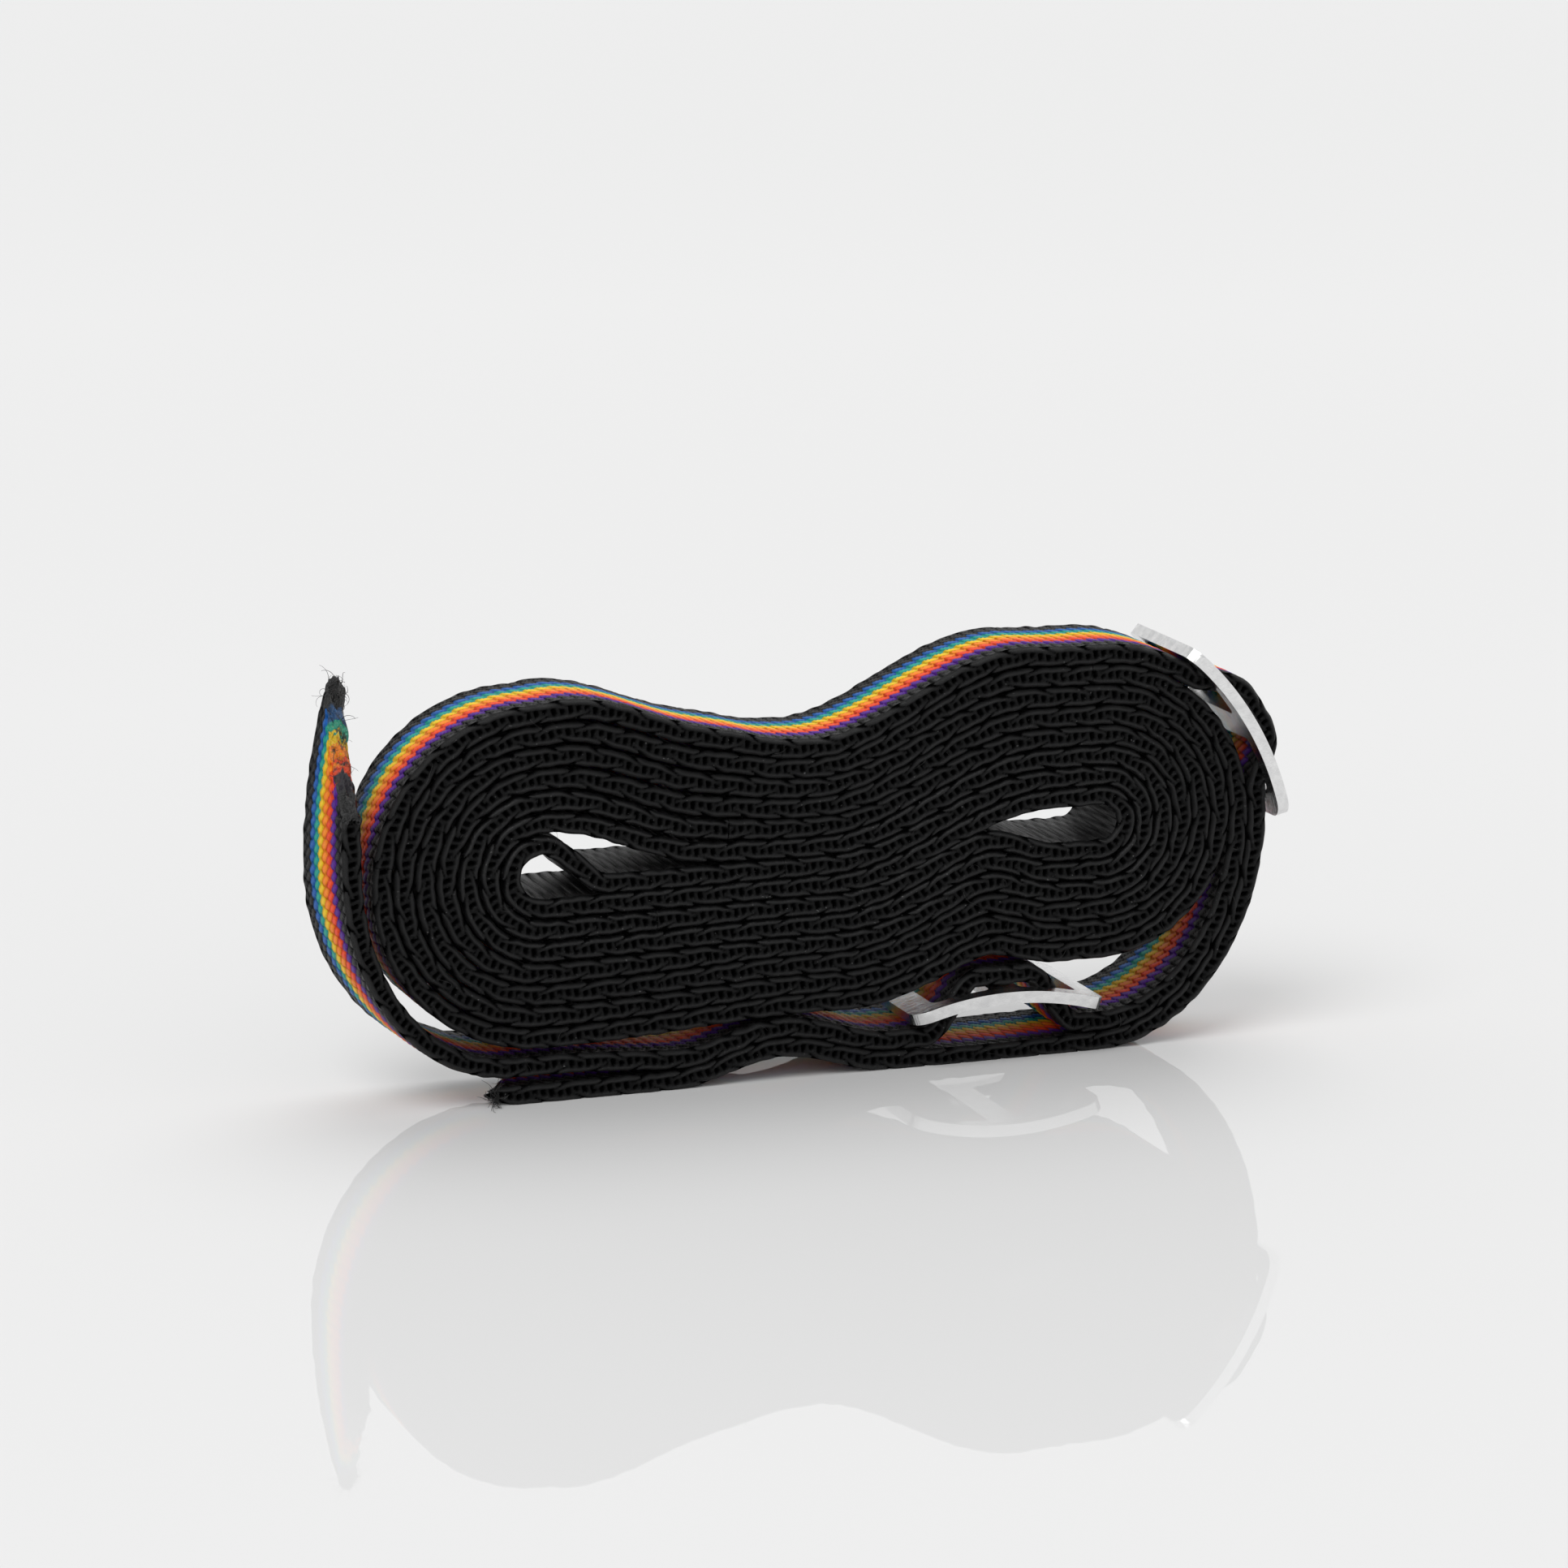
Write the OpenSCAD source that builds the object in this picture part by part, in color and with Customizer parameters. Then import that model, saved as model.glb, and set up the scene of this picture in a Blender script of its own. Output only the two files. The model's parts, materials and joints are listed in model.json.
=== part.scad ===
// Luggage strap: one long narrow webbing wound into a two-lobed roll that stands on its edge,
// with two curved three-bar slide buckles threaded on it. Millimetres, +Z up, +X to the right.
// The origin is in the middle of the flat the roll rests on, and of the webbing's width. Distances
// along X below are measured from the roll's waist.

/* [Webbing] */
// Width of the webbing
web_w = 12.7; // [11:0.1:13]
// Thickness of the webbing
web_t = 1.9; // [1.5:0.05:1.9]

/* [Left lobe] */
// Distance of the left lobe's centre to the left of the waist
left_x = 26.7; // [25:0.1:28]
// Height of the left lobe's centre
left_z = 24.25; // [24.1:0.05:24.5]
// Radius of the innermost left turn, to the middle of the webbing
left_r = 3.4; // [3:0.1:3.6]
// Spacing of the left turns
left_pitch = 2.33; // [2.25:0.01:2.35]

/* [Right lobe] */
// Distance of the right lobe's centre to the right of the waist
right_x = 36.5; // [36:0.1:38]
// Height of the right lobe's centre
right_z = 25.3; // [25:0.1:25.6]
// Radius of the innermost right turn, to the middle of the webbing
right_r = 2.95; // [2.8:0.05:3.1]
// Spacing of the right turns
right_pitch = 2.22; // [2.2:0.01:2.25]

/* [Waist] */
// Height of the top row at the waist
waist_top_z = 35.9; // [35.5:0.1:36.2]
// Spacing of the rows at the waist
waist_pitch = 2.14; // [2.1:0.01:2.16]

/* [Tails] */
// Height of the standing tail's tip, at its longer edge
standing_tip_z = 44; // [42:0.5:46]
// Height difference across the standing tail's slanting cut
standing_cut = 12.4; // [10:0.1:13]
// Distance of the floor tail's tip to the left of the waist
floor_tip_x = 32.5; // [31:0.5:33]
// How much shorter the floor tail's far edge is than its near edge
floor_cut = 8; // [4:0.5:8]

/* [Slide buckles] */
// Length of a buckle along the webbing
buckle_l = 22; // [21.6:0.1:22.4]
// Width of a buckle across the webbing
buckle_w = 17.5; // [17:0.1:20]
// Thickness of the buckle's sheet metal
buckle_t = 1.3; // [1:0.1:1.3]
// Radius the sheet is curved to
bend_r = 34; // [33:0.5:36]
// Length of each end bar along the webbing
end_bar_l = 2.8; // [2.5:0.1:3]
// Length of the middle bar along the webbing
middle_bar_l = 3.4; // [3:0.1:3.6]
// Angle round the right lobe at which the upper buckle's middle bar sits
upper_buckle_angle = 31; // [29:1:33]
// Distance of the lower buckle's middle bar to the right of the waist
lower_buckle_x = 25.2; // [25:0.1:25.4]

/* [Hidden] */
$fn = 96;

half_t = web_t / 2;
// Clearance at the flexing lines, between the roll and the round start of each tail
flex_gap = 0.1;
// Straight pieces in a crossing row, in the threaded row and in the floor arch
row_pieces = 20;
threaded_row_pieces = 60;
arch_pieces = 16;
// Degrees per straight piece of a turn
turn_step = 10;

// The rows in the order the webbing passes through them, from the standing tail to the floor tail.
// Rows are numbered from the top. Even places in this list run to the right, odd ones to the left.
row_order = [15, 2, 13, 4, 11, 6, 9, 8, 7, 10, 5, 12, 3, 14, 1, 16];
last_place = len(row_order) - 1;
// The left lobe holds rows 1 to 14, the right lobe rows 1 to 16
left_upper_rows = 7;
right_upper_rows = 8;

// Where the rows start and finish rising from the waist to the right lobe
rise_start_x = 5.5;
rise_end_x = 31;
// Where the rows below the right lobe's opening part from those above it
open_start_x = 21.5;
open_end_x = 31.5;
// How early the rows climb from the waist to the left lobe
left_climb = 0.75;
// Shares of the way to the left lobe at which its opening starts, above and below its innermost row
left_open_above = 0.3;
left_open_below = 0.72;
// Extra spacing of the loosely wound rows, halfway up to a lobe
left_slack = 0.3;
right_upper_slack = 0.22;
right_lower_slack = 0.15;

// The bottom row lies on the floor, and arches up below the waist
arch_half_x = 12.5;
arch_rise = 2.5;
// The middle of the flat the roll rests on
rest_x = (arch_half_x + right_x) / 2;
low_pitch = 2.2;
// Extra height of the row above it where the tails part
tails_part_x = -8;
tails_part_z = 0.8;
tails_part_l = 18;

// The standing tail leaves on an elliptical turn, then rises and leans back over the roll
standing_lean = 3.2;
standing_pieces = 12;
// Extra length that the slanting cut takes off
tip_overrun = 1;
tail_turn_x = -30;
tail_turn_z = 24.4;
tail_turn_rx = 18.2;
tail_turn_rz = tail_turn_z - half_t - low_pitch - tails_part_z;
standing_flex_x = -35;
floor_flex_x = -21;
floor_tip_l = 3;
floor_tip_t = 0.5;

// Lower buckle: the height of its middle bar, and the webbing's loop over that bar
lower_buckle_z = 7.4;
loop_top_z = 9.25;
loop_flat_l = 2.8;
loop_foot_l = 8.9;
// Upper buckle: the radius of its middle bar, and the webbing's loop over it, in degrees
upper_buckle_r = 19.5;
loop_top_r = 21.3;
loop_flat_a = 7;
loop_foot_a = 24.5;

slot_l = (buckle_l - 2 * end_bar_l - middle_bar_l) / 2;
slot_w = web_w + 0.9;
slot_corner_r = 0.8;
buckle_corner_r = 2;

function mix(a, b, t) = a + (b - a) * t;
function ease(t) = t <= 0 ? 0 : t >= 1 ? 1 : (1 - cos(180 * t)) / 2;
function unit(v) = v / norm(v);
function square_to(v) = [-v.y, v.x];

function waist_z(row) = waist_top_z - waist_pitch * (row - 1);

// Height of a row between the waist and the left lobe
function row8_left_z(s) = mix((waist_z(7) + waist_z(8)) / 2, left_z, s) - mix(waist_pitch / 2, left_r, s);
function row_left_z(row, x) =
    let (far = -x / left_x)
    let (s = ease(pow(far, left_climb)))
    let (pitch = mix(waist_pitch, left_pitch, s))
    let (share_above = ease((far - left_open_above) / (1 - left_open_above)))
    let (share_below = ease((far - left_open_below) / (1 - left_open_below)))
    let (loose_pitch = pitch + left_slack * sin(180 * far))
    row > left_upper_rows ? row8_left_z(s) - pitch * (row - left_upper_rows - 1)
    : row == left_upper_rows ? row8_left_z(s) + mix(waist_pitch, 2 * left_r, share_below)
    : row8_left_z(s) + mix(waist_pitch, 2 * left_r, share_above) + loose_pitch * (left_upper_rows - row);

// Height of a row between the waist and the right lobe
function row_right_z(row, x) =
    let (way = min(1, max(0, (x - rise_start_x) / (rise_end_x - rise_start_x))))
    let (s = ease(way))
    let (row8_z = mix(waist_z(right_upper_rows), right_z + right_r, s))
    let (slack = row > right_upper_rows ? right_lower_slack : right_upper_slack)
    let (pitch = mix(waist_pitch, right_pitch, s) + slack * sin(180 * way))
    let (opening = mix(waist_pitch, 2 * right_r, ease((x - open_start_x) / (open_end_x - open_start_x))))
    row <= right_upper_rows ? row8_z + pitch * (right_upper_rows - row)
    : row8_z - opening - pitch * (row - right_upper_rows - 1);

// Heights of the two lowest rows, of which the upper one threads the lower buckle
function bottom_row_z(x) = half_t + arch_rise * ease(1 - abs(x) / arch_half_x);
function loop_share(from_bar, flat, foot) = ease((foot - abs(from_bar)) / (foot - flat));
function threaded_row_z(x) =
    let (lying = bottom_row_z(x) + low_pitch + tails_part_z * ease((tails_part_x - x) / tails_part_l))
    mix(lying, loop_top_z, loop_share(x - lower_buckle_x, loop_flat_l, loop_foot_l));

function row_z(row, x) =
    row == 16 ? bottom_row_z(x)
    : row == 15 ? threaded_row_z(x)
    : x < 0 ? row_left_z(row, x)
    : row_right_z(row, x);

// Points along one row, from x0 to x1
function row_line(row, x0, x1, pieces) =
    [for (i = [0:pieces]) let (x = mix(x0, x1, i / pieces)) [x, row_z(row, x)]];

// The bottom row lies flat from the right turn to its arch, and from the arch to the floor tail
bottom_row_line = concat(
    [[right_x, half_t]],
    row_line(16, arch_half_x, -arch_half_x, arch_pieces),
    [[floor_flex_x + half_t + flex_gap, half_t]]
);

function row_place_line(place) =
    let (row = row_order[place])
    let (pieces = row == 15 ? threaded_row_pieces : row_pieces)
    row == 16 ? bottom_row_line
    : place % 2 == 0 ? row_line(row, -left_x, right_x, pieces)
    : row_line(row, right_x, -left_x, pieces);

// One turn of the left lobe, from the lower row to the upper one
function left_turn(row) =
    let (r = left_r + left_pitch * (left_upper_rows - row))
    [for (a = [270 - turn_step:-turn_step:90 + turn_step]) [-left_x + r * cos(a), left_z + r * sin(a)]];

// One turn of the right lobe, from the upper row to the lower one. The two outermost turns reach
// down to the lowest rows, and the outermost one threads the upper buckle.
function right_turn_r(row, a) =
    let (r = right_r + right_pitch * (right_upper_rows - row))
    row > 1 ? r : mix(r, loop_top_r, loop_share(a - upper_buckle_angle, loop_flat_a, loop_foot_a));
function right_turn_drop(row) =
    row == 1 ? right_z - bottom_row_z(right_x)
    : row == 2 ? right_z - threaded_row_z(right_x)
    : right_turn_r(row, -90);
function right_turn(row) =
    let (step = row == 1 ? turn_step / 3 : turn_step)
    [for (a = [90 - step:-step:-90 + step])
        let (r = right_turn_r(row, a))
        [right_x + r * cos(a), right_z + (a > 0 ? r : right_turn_drop(row)) * sin(a)]];

function reversed(line) = [for (i = [len(line) - 1:-1:0]) line[i]];

function turn_after(place) =
    let (upper_row = min(row_order[place], row_order[place + 1]))
    let (turn = place % 2 == 0 ? right_turn(upper_row) : left_turn(upper_row))
    let (starts_low = row_order[place] > row_order[place + 1])
    place % 2 == 0 ? (starts_low ? reversed(turn) : turn) : (starts_low ? turn : reversed(turn));

// The standing tail's turn, on its ellipse
function tail_turn_at(x) =
    [x, tail_turn_z - tail_turn_rz * sqrt(1 - pow((x - tail_turn_x) / tail_turn_rx, 2))];
function tail_turn_angle(x) = asin((tail_turn_x - x) / tail_turn_rx);

tail_exit_line = [
    for (i = [0:3]) tail_turn_at(mix(standing_flex_x + half_t + flex_gap, tail_turn_x + 0.8, i / 3))
];
roll_line = concat(
    tail_exit_line,
    [for (place = [0:last_place]) each concat(
        row_place_line(place),
        place < last_place ? turn_after(place) : []
    )]
);

flex_angle = tail_turn_angle(standing_flex_x);
standing_line = concat(
    [for (i = [0:14]) let (a = mix(flex_angle, 90, i / 14))
        [tail_turn_x - tail_turn_rx * sin(a), tail_turn_z - tail_turn_rz * cos(a)]],
    [for (i = [1:standing_pieces]) let (up = i / standing_pieces)
        [tail_turn_x - tail_turn_rx + standing_lean * pow(up, 2), mix(tail_turn_z, standing_tip_z + tip_overrun, up)]]
);

// A strip of the webbing's thickness that follows a line
function offset_point(line, i, side) =
    let (before = i == 0 ? line[1] - line[0] : line[i] - line[i - 1])
    let (after = i == len(line) - 1 ? before : line[i + 1] - line[i])
    let (normal = unit(square_to(unit(before) + unit(after))))
    line[i] + normal * side / (normal * square_to(unit(before)));

module strip(line) {
    last = len(line) - 1;
    rotate([90, 0, 0])
        linear_extrude(web_w, center = true)
            polygon(concat(
                [for (i = [0:last]) offset_point(line, i, half_t)],
                [for (i = [last:-1:0]) offset_point(line, i, -half_t)]
            ));
}

module round_start(at) {
    translate([at.x, 0, at.y])
        rotate([90, 0, 0])
            cylinder(r = half_t, h = web_w, center = true);
}

module webbing_roll() {
    color([0.10, 0.10, 0.11])
        translate([-rest_x, 0, 0])
            strip(roll_line);
}

module standing_tail() {
    cut_angle = atan(standing_cut / web_w);
    color([0.55, 0.25, 0.20])
        translate([-rest_x, 0, 0])
            difference() {
                union() {
                    strip(standing_line);
                    round_start(standing_line[0]);
                }
                translate([tail_turn_x - tail_turn_rx, web_w / 2, standing_tip_z])
                    rotate([cut_angle, 0, 0])
                        translate([-8, -30, 0])
                            cube([16, 60, 20]);
            }
}

module floor_tail() {
    cut_angle = atan(floor_cut / web_w);
    color([0.20, 0.35, 0.55])
        translate([-rest_x, 0, 0])
            difference() {
                union() {
                    rotate([90, 0, 0])
                        linear_extrude(web_w, center = true)
                            polygon([
                                [floor_flex_x, 0],
                                [floor_flex_x, web_t],
                                [-floor_tip_x + floor_tip_l, web_t],
                                [-floor_tip_x, floor_tip_t],
                                [-floor_tip_x, 0]
                            ]);
                    round_start([floor_flex_x, half_t]);
                }
                translate([-floor_tip_x, -web_w / 2, -1])
                    rotate([0, 0, -cut_angle])
                        translate([-20, -5, 0])
                            cube([20, 30, web_t + 2]);
            }
}

module rounded_rect(l, w, r) {
    square([l - 2 * r, w], center = true);
    square([l, w - 2 * r], center = true);
    for (sx = [-1, 1], sy = [-1, 1])
        translate([sx * (l / 2 - r), sy * (w / 2 - r)])
            circle(r);
}

// A three-bar slide buckle, curved along X, with the middle of its middle bar at the origin
module slide_buckle() {
    intersection() {
        translate([0, 0, -bend_r])
            rotate([90, 0, 0])
                difference() {
                    cylinder(r = bend_r + buckle_t / 2, h = buckle_w + 2, center = true);
                    cylinder(r = bend_r - buckle_t / 2, h = buckle_w + 4, center = true);
                }
        linear_extrude(4 * buckle_t + 8, center = true)
            difference() {
                rounded_rect(buckle_l, buckle_w, buckle_corner_r);
                for (side = [-1, 1])
                    translate([side * (middle_bar_l + slot_l) / 2, 0])
                        rounded_rect(slot_l, slot_w, slot_corner_r);
            }
    }
}

module upper_buckle() {
    color([0.78, 0.79, 0.80])
        translate([right_x - rest_x, 0, right_z])
            rotate([0, 90 - upper_buckle_angle, 0])
                translate([0, 0, upper_buckle_r])
                    slide_buckle();
}

module lower_buckle() {
    color([0.85, 0.85, 0.86])
        translate([lower_buckle_x - rest_x, 0, lower_buckle_z])
            slide_buckle();
}

webbing_roll();
standing_tail();
floor_tail();
upper_buckle();
lower_buckle();
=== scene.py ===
"""Looks for a wound luggage strap: woven rainbow webbing and two curved slide buckles.

All lengths are in metres. The webbing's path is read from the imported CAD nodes.
"""

import math

import bmesh
import bpy
import numpy as np
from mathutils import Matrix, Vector
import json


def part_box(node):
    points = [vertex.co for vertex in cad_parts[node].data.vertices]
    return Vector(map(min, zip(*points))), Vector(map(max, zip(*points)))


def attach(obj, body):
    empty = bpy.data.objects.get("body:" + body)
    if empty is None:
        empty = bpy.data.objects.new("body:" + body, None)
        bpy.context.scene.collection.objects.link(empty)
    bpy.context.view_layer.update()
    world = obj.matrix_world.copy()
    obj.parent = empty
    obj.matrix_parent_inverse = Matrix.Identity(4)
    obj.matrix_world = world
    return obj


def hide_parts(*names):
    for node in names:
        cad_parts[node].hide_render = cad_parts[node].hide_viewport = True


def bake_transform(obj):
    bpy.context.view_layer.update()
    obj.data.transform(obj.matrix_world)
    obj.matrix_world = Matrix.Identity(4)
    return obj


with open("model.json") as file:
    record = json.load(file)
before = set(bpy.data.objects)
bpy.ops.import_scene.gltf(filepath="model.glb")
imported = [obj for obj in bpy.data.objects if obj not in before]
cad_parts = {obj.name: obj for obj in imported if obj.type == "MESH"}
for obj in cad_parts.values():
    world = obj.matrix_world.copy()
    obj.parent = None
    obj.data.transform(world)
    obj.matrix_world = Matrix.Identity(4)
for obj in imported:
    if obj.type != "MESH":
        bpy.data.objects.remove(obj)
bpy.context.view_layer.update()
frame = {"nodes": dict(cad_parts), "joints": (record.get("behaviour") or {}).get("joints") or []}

MM = 0.001
JOINTS = {j["name"]: j for j in frame["joints"]}

# ---------------------------------------------------------------- webbing dimensions
low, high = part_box("webbing_roll")
WEB_W = high.y - low.y                  # the webbing's width, along Y
WEB_T = 1.9 * MM                        # the CAD webbing's thickness
PICK = 1.28 * MM                        # length of one float of the weave
RING_STEP = PICK / 8                    # spacing of the mesh's cross-sections
CORDS = 10                              # warp cords across one face
CORD_W = WEB_W / CORDS
CORE_H = 0.84 * MM                      # half thickness of the webbing below its floats
FLOAT_H = 0.21 * MM                     # height of a float
FLOAT_SLANT = 0.9                       # how far a float leans over its neighbour, in cords
RIB_LAG = 0.13                          # how far each cord's floats lag behind its neighbour's, in picks
CROWN_H = 0.05 * MM                     # how much fuller the webbing is in its middle
EDGE_L = 0.62 * MM                      # how far in from the selvage its rounding starts
EDGE_H = 1.11 * MM                      # half thickness at the selvage's ropes
EDGE_POINTS = 17                        # points round one selvage
EDGE_UP_POWER, EDGE_OUT_POWER = 0.85, 0.62    # how boxy a selvage's rounding is, 1 for an ellipse
FACE_POINTS, BURIED_FACE_POINTS = 41, 5       # points across a visible face, and across a hidden one
STRAND_L = 4.4 * MM                     # length of one strand of the ropes along the selvage
FAR_EDGE_SHIFT = 0.23                   # shift of the far selvage's strands, as a share of a strand
ROPE_LEVEL = 0.70                       # level of a rope, 0 in the middle of the edge and 1 at its rim
STRAND_SIZE, THINNEST = 0.36, 0.02      # half width of a strand in the same measure, and its thinnest
DIVE_START, DIVE_L = 0.72, 0.5          # where a strand dives under the next, as shares of its length
STRAND_END, DIVE_DEPTH = 1.22, 0.62     # where it ends, and how far its level drops by then
LOOP_L = 0.92 * MM                      # spacing of the weft loops between those ropes
LOOP_REACH, LOOP_HEIGHT = 0.6, 0.68     # how far from the edge's middle they reach, and their height
TOWARDS_ROLL = 1                        # side of the standing end's path that the roll is on
HOLE_DEPTH = 0.85 * MM                  # depth of the holes between the loops
MELT_L = 3.0 * MM                       # how far the heat sealing reaches from a cut
MELT_LUMPS = 0.16                       # size of its lumps, as a share of the thickness and in millimetres
CAP_STEPS = 8                           # faces through the thickness of a piece's end
CAP_BULGE = 0.5 * MM                    # how far a cut end bulges out, its lumps, and its finer grain
CAP_LUMPS = 0.45 * MM
CAP_GRAIN = 0.10 * MM
WAIST_X = -24.5 * MM                    # where the roll is narrowest


# ---------------------------------------------------------------- path of the webbing
def node_outline(node, y_side):
    """The node's outline in the XZ plane on its lowest (-1) or highest (1) Y face, as an ordered loop.

    The outline's edges are those that belong to only one triangle of that flat face."""
    mesh = frame["nodes"][node].data
    mesh.calc_loop_triangles()
    co = np.array([v.co for v in mesh.vertices])
    face_y = co[:, 1].min() if y_side < 0 else co[:, 1].max()
    keys = {}
    index = []
    for x, y, z in co:
        index.append(keys.setdefault((round(x, 7), round(y, 7), round(z, 7)), len(keys)))
    points = np.array(list(keys))
    on_face = np.abs(points[:, 1] - face_y) < 1e-6
    edges = {}
    for tri in mesh.loop_triangles:
        a, b, c = (index[v] for v in tri.vertices)
        if on_face[a] and on_face[b] and on_face[c] and len({a, b, c}) == 3:
            for e in ((a, b), (b, c), (c, a)):
                key = (min(e), max(e))
                edges[key] = edges.get(key, 0) + 1
    links = {}
    for (a, b), count in edges.items():
        if count == 1:
            links.setdefault(a, []).append(b)
            links.setdefault(b, []).append(a)
    start = next(iter(links))
    loop = [start]
    before, here = None, start
    while True:
        following = [n for n in links[here] if n != before][0]
        if following == start:
            break
        loop.append(following)
        before, here = here, following
    return points[loop][:, [0, 2]]


def strip_middle(loop, near):
    """The middle line of a strip's outline, walked from the square end closest to near."""
    n = len(loop)
    best = None
    for i in range(n):
        a, b = loop[i], loop[(i + 1) % n]
        before, after = loop[i - 1], loop[(i + 2) % n]
        edge = b - a
        length = np.linalg.norm(edge)
        if abs(length - WEB_T) > 0.25 * MM:
            continue
        square = abs(edge @ (a - before)) / (length * np.linalg.norm(a - before))
        square += abs(edge @ (after - b)) / (length * np.linalg.norm(after - b))
        away = np.linalg.norm((a + b) / 2 - np.array(near))
        if square < 0.9 and (best is None or away < best[0]):
            best = (away, i)
    i = best[1]
    middle = []
    for k in range(n // 2):
        a, b = loop[(i - k) % n], loop[(i + 1 + k) % n]
        if abs(np.linalg.norm(a - b) - WEB_T) > 0.35 * MM:
            break
        middle.append((a + b) / 2)
    return np.array(middle)


def smooth_resample(points, step):
    """A Catmull-Rom curve through the points, cut into equal lengths."""
    keep = [0]
    for i in range(1, len(points)):
        if np.linalg.norm(points[i] - points[keep[-1]]) > 0.15 * MM:
            keep.append(i)
    p = points[keep]
    t = np.r_[0, np.cumsum(np.linalg.norm(np.diff(p, axis=0), axis=1))]
    slope = np.empty_like(p)
    h = np.diff(t)[:, None]
    d = np.diff(p, axis=0) / h
    slope[1:-1] = (d[:-1] * h[1:] + d[1:] * h[:-1]) / (h[1:] + h[:-1])
    slope[0], slope[-1] = d[0], d[-1]
    fine = np.linspace(0, t[-1], int(t[-1] / (step / 4)))
    k = np.clip(np.searchsorted(t, fine, side="right") - 1, 0, len(t) - 2)
    span = h[k]
    u = ((fine - t[k]) / h[k, 0])[:, None]
    curve = (
        (2 * u**3 - 3 * u**2 + 1) * p[k] + (u**3 - 2 * u**2 + u) * span * slope[k]
        + (-2 * u**3 + 3 * u**2) * p[k + 1] + (u**3 - u**2) * span * slope[k + 1]
    )
    s = np.r_[0, np.cumsum(np.linalg.norm(np.diff(curve, axis=0), axis=1))]
    even = np.linspace(0, s[-1], int(round(s[-1] / step)) + 1)
    return np.c_[np.interp(even, s, curve[:, 0]), np.interp(even, s, curve[:, 1])]


standing_low, standing_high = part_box("standing_tail")
floor_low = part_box("floor_tail")[0]
standing_flex = np.array(JOINTS["standing_end_flex"]["pos_m"])[[0, 2]]
floor_flex = np.array(JOINTS["floor_end_flex"]["pos_m"])[[0, 2]]

standing_line = strip_middle(node_outline("standing_tail", 1), (standing_low.x, standing_high.z))
roll_line = strip_middle(node_outline("webbing_roll", -1), standing_flex)
floor_line = np.array([floor_flex, (floor_low.x, floor_flex[1])])
PATH = smooth_resample(np.vstack([standing_line, roll_line, floor_line]), RING_STEP)
RINGS = len(PATH)
PATH_L = (RINGS - 1) * RING_STEP

tangent = np.gradient(PATH, axis=0)
tangent /= np.linalg.norm(tangent, axis=1)[:, None]
NORMAL = np.c_[-tangent[:, 1], tangent[:, 0]]


def path_at(s):
    """Position and normal at distance s along the path, for an array s."""
    i = np.clip(s / RING_STEP, 0, RINGS - 1)
    places = np.arange(RINGS)
    pos = np.stack([np.interp(i, places, PATH[:, c]) for c in (0, 1)], -1)
    nor = np.stack([np.interp(i, places, NORMAL[:, c]) for c in (0, 1)], -1)
    return pos, nor / np.linalg.norm(nor, axis=-1, keepdims=True)


# ---------------------------------------------------------------- woven surface
def smooth_noise(x, seed, octaves=3):
    """Smooth repeatable noise from sums of sines, about -1 to 1."""
    rng = np.random.default_rng(seed)
    total = np.zeros_like(x)
    for _ in range(octaves * 3):
        freq, phase = rng.uniform(0.4, 3.2), rng.uniform(0, 2 * math.pi)
        total += np.sin(x * freq + phase)
    return total / math.sqrt(octaves * 3 / 2) / 1.6


def profile(face_points, edge_points):
    """One closed cross-section, as rows of (y, height share, outward share).

    The height share is 1 on the upper face and -1 on the lower one. The outward share is 0 on the faces and
    grows to 1 or -1 at the middle of a selvage, which bulges that way along Y."""
    inner = WEB_W / 2 - EDGE_L
    face_y = np.linspace(-inner, inner, face_points)
    arc = np.linspace(90, -90, edge_points + 2)[1:-1]
    boxy = []
    for angle in np.radians(arc):
        up = np.sign(math.sin(angle)) * abs(math.sin(angle)) ** EDGE_UP_POWER
        boxy.append((up, math.cos(angle) ** EDGE_OUT_POWER))
    rows = [(y, 1.0, 0.0) for y in face_y]
    rows += [(inner, up, out) for up, out in boxy]
    rows += [(y, -1.0, 0.0) for y in face_y[::-1]]
    rows += [(-inner, -up, -out) for up, out in boxy]
    return np.array(rows)


def float_relief(s, cord, side):
    """How far the slanted floats of the weave stand up, from 0 to 1, and the leaning cord coordinate.

    Each cord's floats start a part of a pick behind its neighbour's, so they line up in slanting ribs."""
    lean = np.where(side > 0, FLOAT_SLANT, -FLOAT_SLANT)
    along = s / PICK
    for _ in range(2):
        number = np.floor(cord_shift(cord, along, lean))
        along = s / PICK + number * RIB_LAG + np.where(side > 0, 0.0, 0.5)
    leaning = cord_shift(cord, along, lean)
    across = (leaning - np.floor(leaning)) * 2 - 1
    lengthwise = (along - np.floor(along)) * 2 - 1
    round_over = np.sqrt(np.clip(1 - 0.97 * across**2, 0, 1))
    return round_over * np.sqrt(np.clip(1 - 0.95 * np.abs(lengthwise) ** 3, 0, 1)), leaning


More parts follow.
